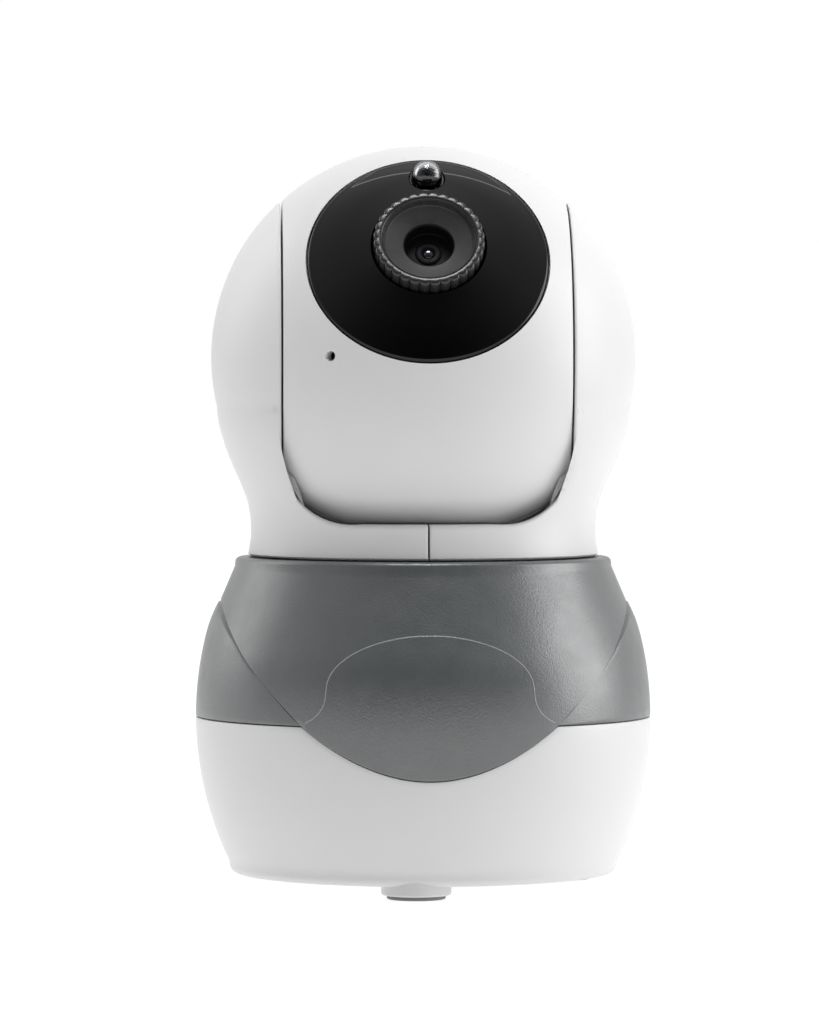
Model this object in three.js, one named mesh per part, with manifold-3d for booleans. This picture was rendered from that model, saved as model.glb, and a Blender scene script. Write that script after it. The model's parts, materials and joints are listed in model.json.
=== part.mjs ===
// Baby monitor camera: a ball-shaped camera head tilts between the two ears of a yoke, and the yoke
// pans on a round base. Millimetres, +Z up, the front faces -Y, and z = 0 is the surface that the
// foot pads stand on. The head is modelled with its lens axis along +Z and is then tilted back.

import * as THREE from "three";
import { mergeVertices } from "three/addons/utils/BufferGeometryUtils.js";
import Module from "manifold-3d";

const wasm = await Module();
wasm.setup();

// ---------------------------------------------------------------- driving dimensions

const GAP = 0.3; // clearance between neighbouring pieces
const WALL = 2.2; // wall of the base housing
const SHELL = 2; // wall of the yoke and the ball
const ROUND = 32; // facets round a large turned piece
const SMALL = 8; // facets round a screw or a pin

// Base housing: an arc whose centre lies behind the axis makes the bulging side.
const JOINT_Z = 30; // plane between the white lower shell and the grey top cover
const SIDE_ARC = 58.6;
const SIDE_ARC_CENTRE = -18.55;
const BASE_BOTTOM_Z = 2.4;
const FLOOR_TOP_Z = 4.6;
const DIP_HALF_WIDTH = 21.9; // the shield dips into the lower shell in a shallow U
const DIP_Z = 20.9;
const LEDGE_Z = 58;
const ROOF_Z = 55.8;
const NECK_HOLE = 27;

// Feet, and the housing screws hidden above them
const FOOT_RING = 28;
const FOOT_ANGLES = [-94.3, 25.7, 145.7];
const PAD_RADIUS = 5.1;
const PAD_TOP_Z = 1.5;
const COLLAR_RADIUS = 6.05;
const COLLAR_BOTTOM_Z = 0.7;
const BOSS_TOP_Z = 12;
const POST_TOP_Z = 44;
const BOARD_RADIUS = 31.5;
const BASE_SCREW_Z = 6; // underside of the shank

// Yoke
const YOKE_BOTTOM_Z = 58.6;
const TILT_AXIS_Z = 93;
const EAR_SPHERE = 37.3;
const CHEEK_X = 25.2; // inner face of each ear
const SLOT_BOTTOM_Z = 64.3;
const SLOT_CORNER = 12;
const DRUM_RADIUS = 24; // lower part of the yoke, which turns inside the base
const DRUM_BOTTOM_Z = 52.3;
const CHEEK_BOTTOM_Z = 70.3;
const TRUNNION_RADIUS = 5;
const SHAFT_RADIUS = 3;
const YOKE_SCREW_AT = [17.5, 8]; // and the opposite point

// Pan drive: a ring gear on the yoke's hub and a pinion on the motor
const GEAR_MODULE = 0.9;
const GEAR_TEETH = 40;
const PINION_TEETH = 10;
const GEAR_Z = [43.5, 47];
const HUB_RADIUS = 9;
const HUB_BOTTOM_Z = 40;
const MOTOR_TOP_Z = 40;
const MOTOR_RADIUS = 12;
const MOTOR_ANGLE = 85.7;
const MOTOR_EAR = 18.5;
const DRIVE_CENTRES = (GEAR_MODULE * (GEAR_TEETH + PINION_TEETH)) / 2;

// Ball and optics; depths are measured from the ball's centre along the lens axis
const BALL_RADIUS = 37.1;
const BALL_FLAT_X = 24.9;
const LENS_ELEVATION = 33; // degrees above the horizon
const PLATE_RADIUS = 20.8;
const PLATE_RIM_DEPTH = 30.8;
const PLATE_HOLE = 9.95;
const RING_RADIUS = 9.55;
const RING_BORE = 8.1;
const RING_DEPTHS = [31.5, 37.6];
const KNURLS = 32;
const OPTIC_RING = 15.5; // radius of the ring of infrared emitters and of the light sensor
const EMITTERS = 8;
const DOME_RADIUS = 2.6; // clear dome over the light sensor
const DOME_CENTRE_DEPTH = 33.5;
const MICROPHONE_AT = new THREE.Vector3(-17, -17.7, 27.8);

// Controls on the back of the base
const CONTROL_Z = 16;
const BUTTON_ANGLE = -38; // degrees round from the back
const SWITCH_ANGLE = 38;
const SWITCH_TRAVEL = 3;

// ---------------------------------------------------------------- materials

const finish = (color, roughness, metalness = 0) =>
  new THREE.MeshStandardMaterial({ color, roughness, metalness });

const whitePlastic = finish(0xe4e5e8, 0.42);
const greyPlastic = finish(0x6f7276, 0.7);
const smokedPlastic = finish(0x08080a, 0.06);
const blackPlastic = finish(0x17171a, 0.45);
const clearPlastic = finish(0xd8dde0, 0.08);
const lensGlass = finish(0x1a2030, 0.03);
const rubber = finish(0x6b6d70, 0.9);
const acetal = finish(0xd9d6cc, 0.5);
const brass = finish(0xb9974c, 0.35, 1);
const steel = finish(0x9a9da1, 0.35, 1);
const circuitBoard = finish(0x1f5a34, 0.55);
const cableJacket = finish(0x202022, 0.6);

// ---------------------------------------------------------------- geometry helpers

const radians = THREE.MathUtils.degToRad;

const samples = (from, to, steps) =>
  Array.from({ length: steps + 1 }, (_, i) => from + ((to - from) * i) / steps);

const polar = (radius, degrees) =>
  new THREE.Vector2(radius * Math.cos(radians(degrees)), radius * Math.sin(radians(degrees)));

// A closed solid in manifold-3d, with its faces pointing out, from a three.js geometry.
function toSolid(geometry) {
  geometry.deleteAttribute("normal");
  geometry.deleteAttribute("uv");
  const merged = mergeVertices(geometry);
  const points = merged.attributes.position.array;
  const corners = merged.index.array;
  const triangles = [];
  let volume = 0;
  for (let i = 0; i < corners.length; i += 3) {
    const [a, b, c] = corners.slice(i, i + 3);
    if (a === b || b === c || c === a) continue;
    triangles.push(a, b, c);
    const [p, q, r] = [a, b, c].map((v) => new THREE.Vector3().fromArray(points, 3 * v));
    volume += p.dot(q.cross(r));
  }
  if (volume < 0) triangles.reverse();
  return new wasm.Manifold(
    new wasm.Mesh({
      numProp: 3,
      vertProperties: Float32Array.from(points),
      triVerts: Uint32Array.from(triangles),
    }),
  );
}

function toGeometry(solid) {
  const mesh = solid.getMesh();
  const geometry = new THREE.BufferGeometry();
  geometry.setAttribute("position", new THREE.BufferAttribute(mesh.vertProperties, 3));
  geometry.setIndex(new THREE.BufferAttribute(mesh.triVerts, 1));
  geometry.computeVertexNormals();
  return geometry;
}

function combine(operation, first, rest) {
  const solid = rest.reduce((body, tool) => body[operation](toSolid(tool)), toSolid(first));
  return toGeometry(solid);
}

const join = (first, ...rest) => combine("add", first, rest);
const cut = (first, ...rest) => combine("subtract", first, rest);
const common = (first, ...rest) => combine("intersect", first, rest);

// Turns a profile of [radius, z] points round the Z axis; it closes on itself unless it ends on the axis.
function turned(profile, facets = ROUND) {
  const outline = profile.map(([radius, z]) => new THREE.Vector2(radius, z));
  const touchesAxis = profile[0][0] === 0 && profile.at(-1)[0] === 0;
  if (!touchesAxis) outline.push(outline[0].clone());
  return new THREE.LatheGeometry(outline, facets).rotateX(Math.PI / 2);
}

const rod = (radius, from, to, facets = SMALL) =>
  turned([[0, from], [radius, from], [radius, to], [0, to]], facets);

const tube = (inner, outer, from, to, facets = ROUND) =>
  turned([[inner, from], [outer, from], [outer, to], [inner, to]], facets);

const block = ([x0, x1], [y0, y1], [z0, z1]) =>
  new THREE.BoxGeometry(x1 - x0, y1 - y0, z1 - z0)
    .translate((x0 + x1) / 2, (y0 + y1) / 2, (z0 + z1) / 2);

const prism = (shape, from, to) =>
  new THREE.ExtrudeGeometry(shape, { depth: to - from, bevelEnabled: false, curveSegments: 8 })
    .translate(0, 0, from);

// Turn a piece drawn along Z so that it lies along X (its x, y become y, z) or along Y.
const alongX = (geometry) =>
  geometry.applyMatrix4(new THREE.Matrix4().set(0, 0, 1, 0, 1, 0, 0, 0, 0, 1, 0, 0, 0, 0, 0, 1));
const alongY = (geometry) => geometry.rotateX(-Math.PI / 2);
const alongMinusY = (geometry) => geometry.rotateX(Math.PI / 2);

const at = (geometry, x, y, z = 0) => geometry.translate(x, y, z);

// Curved cuts can leave crumbs of almost no volume beside the piece itself.
const CRUMB = 0.01;

function withoutCrumbs(solid) {
  const bodies = solid.decompose().filter((body) => body.volume() > CRUMB);
  return bodies.length === 1 ? bodies[0] : solid;
}

function piece(name, geometry, material) {
  const mesh = new THREE.Mesh(toGeometry(withoutCrumbs(toSolid(geometry))), material);
  mesh.name = name;
  return mesh;
}

// A pan-head screw whose head lies just below the given point and whose shank points up.
function screw(name, length, x, y, z, shank = 1.1, head = 2.2) {
  const profile = [[0, -1.6], [head, -1.2], [head, 0], [shank, 0], [shank, length - 1], [0, length]];
  return piece(name, at(turned(profile, SMALL), x, y, z), steel);
}

// ---------------------------------------------------------------- base housing

const sideRadius = (z) => SIDE_ARC_CENTRE + Math.sqrt(SIDE_ARC ** 2 - (z - JOINT_Z) ** 2);

const sideProfile = (from, to, steps, inset = 0) =>
  samples(from, to, steps).map((z) => [sideRadius(z) - inset, z]);

// The U in which the shield dips below the joint plane, seen from the front.
function dipShape(gap) {
  const half = DIP_HALF_WIDTH - gap;
  const top = JOINT_Z + 1;
  const low = DIP_Z + gap;
  const shape = new THREE.Shape();
  shape.moveTo(-half, top);
  shape.lineTo(-half, JOINT_Z);
  shape.quadraticCurveTo(0, 2 * low - JOINT_Z, half, JOINT_Z);
  shape.lineTo(half, top);
  return shape;
}

const footPoints = FOOT_ANGLES.map((angle) => polar(FOOT_RING, angle));

function bottomShell() {
  let shell = turned([[0, BASE_BOTTOM_Z], [32.3, BASE_BOTTOM_Z], [33.3, 3],
    ...sideProfile(4, JOINT_Z - GAP / 2, 4),
    ...sideProfile(JOINT_Z - GAP / 2, FLOOR_TOP_Z + 1, 3, WALL), [31, FLOOR_TOP_Z], [0, FLOOR_TOP_Z]]);
  const feet = footPoints.flatMap(({ x, y }) => [
    at(rod(COLLAR_RADIUS, COLLAR_BOTTOM_Z, FLOOR_TOP_Z - 1, 24), x, y),
    at(rod(4.4, FLOOR_TOP_Z - 1, BOSS_TOP_Z, 16), x, y),
  ]);
  const holes = footPoints.flatMap(({ x, y }) => [
    at(rod(PAD_RADIUS + GAP, 0, PAD_TOP_Z + GAP, 24), x, y),
    at(rod(2.6, 1, 6), x, y),
    at(rod(1.5, 5, 14), x, y),
  ]);
  const soundSlots = [-8, -4, 0, 4, 8].map((y) => {
    const half = Math.sqrt(11.5 ** 2 - y ** 2);
    return block([-half, half], [y - 0.8, y + 0.8], [1, 6]);
  });
  const dip = alongMinusY(prism(dipShape(0), -45, 45));
  const inletWindow = block([-5.5, 5.5], [33, 42], [CONTROL_Z - 2.6, CONTROL_Z + 2.6]);
  const buttonHole = alongY(at(rod(3.2, 34, 42, 20), 0, -CONTROL_Z))
    .rotateZ(radians(BUTTON_ANGLE));
  const switchWindow = block([-3.4, 3.4], [34, 42], [CONTROL_Z - 1.6, CONTROL_Z + 1.6])
    .rotateZ(radians(SWITCH_ANGLE));
  shell = join(shell, ...feet);
  return cut(shell, ...holes, ...soundSlots, dip, inletWindow, buttonHole, switchWindow);
}

function topCover() {
  const body = turned([[0, JOINT_Z + GAP / 2], ...sideProfile(JOINT_Z + GAP / 2, 45, 3), [34.5, 53.2],
    [33.1, 56.6], [32.5, 57.7], [31.6, LEDGE_Z], [0, LEDGE_Z]]);
  const lowShield = turned([[0, DIP_Z - 1], [39.5, DIP_Z - 1], [40.1, 25], [40.6, JOINT_Z + 2],
    [39.6, JOINT_Z + 7], [0, JOINT_Z + 7]]);
  const dip = alongMinusY(prism(dipShape(GAP), -45, 45));
  const lower = common(lowShield, dip);
  const inside = turned([[0, 10], [36, 10], ...sideProfile(16, 46, 3, WALL), [33, 51.5], [31, ROOF_Z],
    [0, ROOF_Z]]);
  const motor = polar(DRIVE_CENTRES, MOTOR_ANGLE);
  const across = polar(MOTOR_EAR, MOTOR_ANGLE + 90);
  const motorPosts = [1, -1].map((side) => motor.clone().addScaledVector(across, side));
  const posts = [
    ...footPoints.map(({ x, y }) => at(rod(3, BOSS_TOP_Z + GAP, POST_TOP_Z, 16), x, y)),
    ...FOOT_ANGLES.map((angle) =>
      block([FOOT_RING, 37.9], [-1, 1], [JOINT_Z + 1, POST_TOP_Z]).rotateZ(radians(angle))),
    ...motorPosts.map(({ x, y }) => at(rod(2.2, MOTOR_TOP_Z + GAP, ROOF_Z + 1), x, y)),
    tube(NECK_HOLE, NECK_HOLE + WALL, 52.6, ROOF_Z + 1),
  ];
  const holes = [
    rod(NECK_HOLE, 52, 60, ROUND),
    ...footPoints.map(({ x, y }) => at(rod(1.6, 11, 21), x, y)),
    ...motorPosts.map(({ x, y }) => at(rod(1.4, 39, 47), x, y)),
  ];
  return cut(join(cut(join(body, lower), inside), ...posts), ...holes);
}

function feetAndScrews() {
  return footPoints.flatMap(({ x, y }, i) => [
    piece(`foot_pad_${i + 1}`, at(rod(PAD_RADIUS, 0, PAD_TOP_Z, 24), x, y), rubber),
    screw(`base_screw_${i + 1}`, 14, x, y, BASE_SCREW_Z, 1.2, 2.3),
  ]);
}

// ---------------------------------------------------------------- what the base holds

// A small cone speaker that faces the slots in the floor.
const speaker = () => turned([[0, 5], [14, 5], [14, 6.5], [9, 8.5], [9, 11.4], [0, 11.4]], 24);

function mainBoard() {
  const board = rod(BOARD_RADIUS, BOSS_TOP_Z + GAP, BOSS_TOP_Z + GAP + 1.6, 32);
  return cut(board, ...footPoints.map(({ x, y }) => at(rod(3.5, 10, 16), x, y)));
}

function powerInlet() {
  const z = [CONTROL_Z - 1.7, CONTROL_Z + 1.5];
  const can = block([-4, 4], [30, 36.8], z);
  const mouth = block([-3.5, 3.5], [32, 38], [z[0] + 0.5, z[1] - 0.5]);
  const tongue = block([-2.3, 2.3], [31, 36], [CONTROL_Z - 0.2, CONTROL_Z + 0.3]);
  return join(cut(can, mouth), tongue);
}

function pairSwitch() {
  const body = block([-3, 3], [28.4, 31.2], [14.2, 18.6]);
  const plunger = alongY(at(rod(1.5, 31, 32), 0, -CONTROL_Z));
  return join(body, plunger);
}

function pairButton() {
  const cap = turned([[0, 33.1], [3.9, 33.1], [3.9, 34.4], [2.9, 34.4], [2.9, 38.4], [2.4, 38.9],
    [0, 38.9]], 20);
  return alongY(at(cap, 0, -CONTROL_Z));
}

function switchKnob() {
  const start = -SWITCH_TRAVEL / 2;
  const tip = block([start - 1.5, start + 1.5], [34.4, 38.9], [CONTROL_Z - 1.2, CONTROL_Z + 1.2]);
  const plate = block([start - 2.8, start + 2.8], [34.1, 34.7], [CONTROL_Z - 2.4, CONTROL_Z + 2.4]);
  return join(tip, plate);
}

function panMotor() {
  const can = rod(MOTOR_RADIUS, 24, MOTOR_TOP_Z, 24);
  const ears = block([-3, 3], [-MOTOR_EAR - 3, MOTOR_EAR + 3], [MOTOR_TOP_Z - 1.2, MOTOR_TOP_Z]);
  const holes = [1, -1].map((side) => at(rod(1.4, 36, 42), 0, side * MOTOR_EAR));
  return cut(join(can, ears), rod(1.8, MOTOR_TOP_Z - 3, MOTOR_TOP_Z + 1), ...holes);
}

// A spur gear outline with straight-sided teeth, one tooth centred on the X axis.
function gearShape(teeth, bore) {
  const pitch = (GEAR_MODULE * teeth) / 2;
  const tip = pitch + 0.85 * GEAR_MODULE;
  const root = pitch - 1.15 * GEAR_MODULE;
  const step = 360 / teeth;
  const outline = [];
  for (let i = 0; i < teeth; i += 1) {
    const corner = (radius, share) => outline.push(polar(radius, (i + share) * step));
    corner(root, -0.3);
    corner(tip, -0.1);
    corner(tip, 0.1);
    corner(root, 0.3);
  }
  const shape = new THREE.Shape(outline);
  if (bore) shape.holes.push(new THREE.Path().absarc(0, 0, bore, 0, 2 * Math.PI, true));
  return shape;
}

function panPinion() {
  const teeth = prism(gearShape(PINION_TEETH), ...GEAR_Z).rotateZ(radians(MOTOR_ANGLE + 180));
  return join(teeth, rod(1.5, MOTOR_TOP_Z - 2.6, GEAR_Z[0] + 1));
}

// ---------------------------------------------------------------- yoke

// Outer profile of the yoke, moved inwards by the inset, from its skirt up to the top of the ears.
function yokeProfile(inset) {
  const skirt = [[30.8, YOKE_BOTTOM_Z], [30.3, 62.7], [30.9, 68], [33.2, 73.2], [35.1, 78.5],
    [36.4, 84]].map(([radius, z]) => [radius - inset, z]);
  const sphere = samples(-6, 84, 9).map((angle) => {
    const { x, y } = polar(EAR_SPHERE - inset, angle);
    return [x, TILT_AXIS_Z + y];
  });
  return [...skirt, ...sphere, [0, TILT_AXIS_Z + EAR_SPHERE - inset]];
}

function slotShape() {
  const top = 140;
  const corner = SLOT_CORNER;
  const shape = new THREE.Shape();
  shape.moveTo(-CHEEK_X, top);
  shape.absarc(-CHEEK_X + corner, SLOT_BOTTOM_Z + corner, corner, Math.PI, 1.5 * Math.PI, false);
  shape.absarc(CHEEK_X - corner, SLOT_BOTTOM_Z + corner, corner, 1.5 * Math.PI, 2 * Math.PI, false);
  shape.lineTo(CHEEK_X, top);
  return shape;
}

function yokeHalf(side) {
  const body = turned([[0, DRUM_BOTTOM_Z], [DRUM_RADIUS, DRUM_BOTTOM_Z], [DRUM_RADIUS, 59.8],
    [28.8, 59.8], [28.8, YOKE_BOTTOM_Z], ...yokeProfile(0)]);
  const slot = alongMinusY(prism(slotShape(), -45, 45));
  const ballSphere = turned(
    samples(-90, 90, 14).map((angle) => polar(BALL_RADIUS + 0.5, angle).toArray()));
  const ballRoom = common(at(ballSphere, 0, 0, TILT_AXIS_Z),
    block([-CHEEK_X, CHEEK_X], [-45, 45], [50, 135]));
  const core = turned([[0, 50], [28.8, 50], ...yokeProfile(SHELL).slice(1)]);
  const earPocket = common(core, join(
    block([CHEEK_X - 0.2, 40], [-30, 30], [CHEEK_BOTTOM_Z, 125]),
    block([CHEEK_X + 1.1, 40], [-30, 30], [62, CHEEK_BOTTOM_Z + 1])));
  const half = block([GAP / 2, 45], [-45, 45], [45, 135]);
  const [screwX, screwY] = YOKE_SCREW_AT;
  const channel = join(block([DRUM_RADIUS - 0.2, 28.1], [-2, 2], [60.1, 64]),
    block([21.3, DRUM_RADIUS + 0.4], [-2, 2], [50, 61.8]));
  const tools = [slot, ballRoom, earPocket, at(rod(1.3, 50, 57.5), screwX, side * screwY)];
  if (side < 0) tools.push(channel);
  return mirrored(cut(common(body, half), ...tools), side);
}

const mirrored = (geometry, side) => geometry.scale(side, 1, 1);

function cheekPlate(side) {
  const core = turned([[0, 50], [28.5, 50], ...yokeProfile(SHELL + GAP).slice(1)]);
  const slab = block([CHEEK_X + 0.2, CHEEK_X + 1.8], [-30, 30], [CHEEK_BOTTOM_Z + GAP, 125]);
  const radius = (side > 0 ? SHAFT_RADIUS : TRUNNION_RADIUS) + GAP;
  const hole = at(alongX(rod(radius, 20, 30, 20)), 0, 0, TILT_AXIS_Z);
  return mirrored(cut(common(core, slab), hole), side);
}

function turntable() {
  const disc = rod(26.2, 50, 52, ROUND);
  const hub = rod(HUB_RADIUS, HUB_BOTTOM_Z, 51, 24);
  const notch = block([-28, -20.5], [-2.2, 2.2], [49, 53]);
  const screwHoles = [1, -1].map((side) =>
    at(rod(1.4, 49, 53), side * YOKE_SCREW_AT[0], side * YOKE_SCREW_AT[1]));
  return cut(join(disc, hub), rod(6, 39, 53, 24), notch, ...screwHoles);
}

function panGear() {
  const shape = gearShape(GEAR_TEETH, HUB_RADIUS + GAP);
  return prism(shape, ...GEAR_Z).rotateZ(radians(MOTOR_ANGLE - 180 / GEAR_TEETH));
}

function tiltShaft() {
  const shaft = turned([[0, 12.3], [SHAFT_RADIUS, 12.3], [SHAFT_RADIUS, 27.3], [6, 27.3], [6, 29],
    [0, 29]], 20);
  return at(alongX(shaft), 0, 0, TILT_AXIS_Z);
}

function tiltBush() {
  const bush = turned([[3.4, 19.5], [TRUNNION_RADIUS, 19.5], [TRUNNION_RADIUS, 27.3], [7, 27.3],
    [7, 29], [3.4, 29]], 20);
  return mirrored(at(alongX(bush), 0, 0, TILT_AXIS_Z), -1);
}

// The cable runs from the hollow bush down through the left ear and the drum into the base.
const HARNESS_ROUTE = [[-21, 93], [-29, 93], [-32, 90], [-32, 82], [-29.6, 74.5], [-28.2, 69.5],
  [-27.6, 65.5], [-26.9, 63], [-24.8, 61.7], [-23, 59.6], [-22.6, 55], [-22.6, 48.5]];

function tiltHarness() {
  const route = new THREE.CatmullRomCurve3(HARNESS_ROUTE.map(([x, z]) => new THREE.Vector3(x, 0, z)));
  const section = new THREE.Shape().absarc(0, 0, 0.8, 0, 2 * Math.PI, false);
  return new THREE.ExtrudeGeometry(section, { steps: 20, curveSegments: 4, extrudePath: route });
}

// ---------------------------------------------------------------- ball, in the head's own frame

// The ball's section, turned about the tilt axis: a sphere cut by a flat on each side.
function ballBody(inset) {
  const radius = BALL_RADIUS - inset;
  const flat = BALL_FLAT_X - inset;
  const edge = THREE.MathUtils.radToDeg(Math.asin((flat - 0.8) / radius));
  const flatRadius = Math.sqrt(radius ** 2 - flat ** 2);
  const belly = samples(-edge, edge, 8).map((angle) => polar(radius, angle).toArray());
  return alongX(turned([[0, -flat], [flatRadius, -flat], ...belly, [flatRadius, flat], [0, flat]]));
}

const ballPosts = [[14, 23], [-14, -23]];
const BALL_SCREW_DEPTH = -6.7;

const towardsMicrophone = (geometry) =>
  geometry.applyQuaternion(new THREE.Quaternion().setFromUnitVectors(
    new THREE.Vector3(0, 0, 1), MICROPHONE_AT.clone().normalize()));

function ballHalf(front) {
  const outerHalf = front ? block([-40, 40], [-40, 40], [GAP / 2, 40])
    : block([-40, 40], [-40, 40], [-40, -GAP / 2]);
  const shell = common(cut(ballBody(0), ballBody(SHELL)), outerHalf);
  const trunnions = [
    alongX(rod(SHAFT_RADIUS + 0.5, 20, 30, 20)),
    mirrored(alongX(rod(TRUNNION_RADIUS + 0.5, 20, 30, 20)), -1),
  ];
  if (!front) {
    const tubes = ballPosts.map(([x, y]) =>
      common(at(rod(3.6, -30, -GAP / 2, 16), x, y), ballBody(1)));
    const bores = ballPosts.flatMap(([x, y]) => [
      at(rod(2.6, -40, -6), x, y),
      at(rod(1.5, -7, 1), x, y),
    ]);
    return cut(join(shell, ...tubes), ...trunnions, ...bores);
  }
  const posts = ballPosts.map(([x, y]) => common(at(rod(3, GAP / 2, 30, 16), x, y), ballBody(1)));
  const bores = ballPosts.map(([x, y]) => at(rod(1.3, 0, 12), x, y));
  const seat = tube(18.6, 21.4, 27.6, 29.8);
  const window = rod(PLATE_RADIUS + 0.25, PLATE_RIM_DEPTH - 2.2, 40, ROUND);
  const seatHole = rod(19, 26, 40, ROUND);
  const sound = towardsMicrophone(rod(0.85, 30, 40));
  return cut(join(shell, seat, ...posts), window, seatHole, sound, ...trunnions, ...bores);
}

function faceplate() {
  const plate = turned([[PLATE_HOLE, 33.2], [16, 31.4], [20.6, 28.9], [20.8, PLATE_RIM_DEPTH - 0.2],
    [19, 31.85], [16, 33.4], [12.5, 34.7], [PLATE_HOLE + 1, 35.2], [PLATE_HOLE, 35]]);
  return cut(plate, at(rod(3.05, 28, 40, 20), 0, OPTIC_RING));
}

function sensorDome() {
  const outside = samples(0, 90, 4).map((angle) => polar(DOME_RADIUS, angle).toArray());
  const inside = samples(90, 0, 3).map((angle) => polar(DOME_RADIUS - 0.8, angle).toArray());
  const bowl = [...outside, ...inside].map(([radius, depth]) => [radius, DOME_CENTRE_DEPTH + depth]);
  const dome = turned([[DOME_RADIUS - 0.8, 29], [DOME_RADIUS, 29], ...bowl], 20);
  return at(dome, 0, OPTIC_RING);
}

const lightSensor = () => at(rod(1.3, 28, DOME_CENTRE_DEPTH - 0.3), 0, OPTIC_RING);

const emitterBoard = () => tube(9.4, 18, 26.4, 27.6, 32);

function emitter(index) {
  const { x, y } = polar(OPTIC_RING - 1, 90 + (360 / (EMITTERS + 1)) * (index + 1));
  const led = turned([[0, 27.9], [1.9, 27.9], [1.9, 28.6], [1.5, 28.6], [1.5, 30.2],
    [0, 31]], SMALL);
  return at(led, x, y);
}

function lensHolder() {
  const foot = block([-8, 8], [-8, 8], [18.4, 20.4]);
  const barrelHole = rod(6.3, 19.6, 31, 24);
  return cut(join(foot, rod(8, 20, 29.5, 24)), barrelHole, block([-6, 6], [-6, 6], [18, 19.8]));
}

const sensorBoard = () => block([-13, 13], [-12, 12], [16.6, 17.8]);

const imageSensor = () => block([-4.5, 4.5], [-4, 4], [18.1, 19.2]);

const microphone = () => towardsMicrophone(rod(2, 31.4, 33.8, 16));

function tiltMotor() {
  const can = rod(9, -6, 15.4, 24);
  return alongX(cut(can, rod(SHAFT_RADIUS + GAP, 12, 16, 20)));
}

function ballScrew(index) {
  const [x, y] = ballPosts[index];
  return screw(`ball_screw_${index + 1}`, 14, x, y, BALL_SCREW_DEPTH);
}

// ---------------------------------------------------------------- focus ring and lens

function focusRing() {
  const outline = samples(0, 2 * KNURLS - 1, 2 * KNURLS - 1).map((i) =>
    polar(RING_RADIUS - (i % 2) * 0.35, (180 / KNURLS) * i));
  const shape = new THREE.Shape(outline);
  shape.holes.push(new THREE.Path().absarc(0, 0, RING_BORE, 0, 2 * Math.PI, true));
  return prism(shape, ...RING_DEPTHS);
}

function lensBarrel() {
  return turned([[4.6, 22], [6, 22], [6, 31.5], [7.8, 31.5], [7.8, 37.2], [7.05, 37.2], [4.35, 35.8],
    [4.35, 33.8], [1.9, 33.8], [1.9, 33.2], [4.6, 32.6]], 20);
}

const frontLens = () => turned([[0, 30], [4.2, 30], [4.2, 32.2], [1.5, 32.8], [0.9, 33.3], [0, 33.5]], 20);

// ---------------------------------------------------------------- assembly

const camera = new THREE.Group();

const base = new THREE.Group();
base.add(
  piece("base_bottom_shell", bottomShell(), whitePlastic),
  piece("base_top_cover", topCover(), greyPlastic),
  ...feetAndScrews(),
  piece("ballast_ring", tube(15.5, 23.2, 5, 9, 32), steel),
  piece("speaker", speaker(), blackPlastic),
  piece("main_board", mainBoard(), circuitBoard),
  piece("power_inlet", powerInlet(), steel),
  piece("antenna_board", block([-31.5, -30.5], [-6, 6], [14.2, 34]), circuitBoard),
  piece("pan_bearing_ring", tube(DRUM_RADIUS + GAP, NECK_HOLE - GAP, 52.6, 59.4), acetal),
);
camera.add(base);

const pairControl = new THREE.Group();
pairControl.rotation.z = radians(BUTTON_ANGLE);
pairControl.add(
  piece("pair_button", pairButton(), whitePlastic),
  piece("pair_switch", pairSwitch(), blackPlastic),
);
camera.add(pairControl);

const powerControl = new THREE.Group();
powerControl.rotation.z = radians(SWITCH_ANGLE);
powerControl.add(
  piece("power_switch_knob", switchKnob(), blackPlastic),
  piece("power_switch_body", block([-4.5, 4.5], [29.6, 33.8], [14.2, 18.4]), steel),
);
camera.add(powerControl);

const panDrive = new THREE.Group();
const motorCentre = polar(DRIVE_CENTRES, MOTOR_ANGLE);
panDrive.position.set(motorCentre.x, motorCentre.y, 0);
const motor = piece("pan_motor", panMotor(), steel);
motor.rotation.z = radians(MOTOR_ANGLE);
panDrive.add(motor, piece("pan_pinion", panPinion(), brass));
for (const [i, side] of [1, -1].entries()) {
  const { x, y } = polar(side * MOTOR_EAR, MOTOR_ANGLE + 90);
  panDrive.add(screw(`pan_motor_screw_${i + 1}`, 7.5, x, y, MOTOR_TOP_Z - 1.2 - GAP));
}
camera.add(panDrive);

const yoke = new THREE.Group();
yoke.add(
  piece("yoke_right_shell", yokeHalf(1), whitePlastic),
  piece("yoke_left_shell", yokeHalf(-1), whitePlastic),
  piece("right_cheek_plate", cheekPlate(1), whitePlastic),
  piece("left_cheek_plate", cheekPlate(-1), whitePlastic),
  piece("pan_turntable", turntable(), blackPlastic),
  piece("pan_gear", panGear(), acetal),
  piece("pan_gear_clip", tube(HUB_RADIUS + GAP, 12, 41.8, 43, 24), steel),
  piece("tilt_shaft", tiltShaft(), steel),
  piece("tilt_bush", tiltBush(), acetal),
  piece("tilt_harness", tiltHarness(), cableJacket),
  ...[1, -1].map((side, i) =>
    screw(`yoke_screw_${i + 1}`, 7, side * YOKE_SCREW_AT[0], side * YOKE_SCREW_AT[1], 49.7)),
);
camera.add(yoke);

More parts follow.
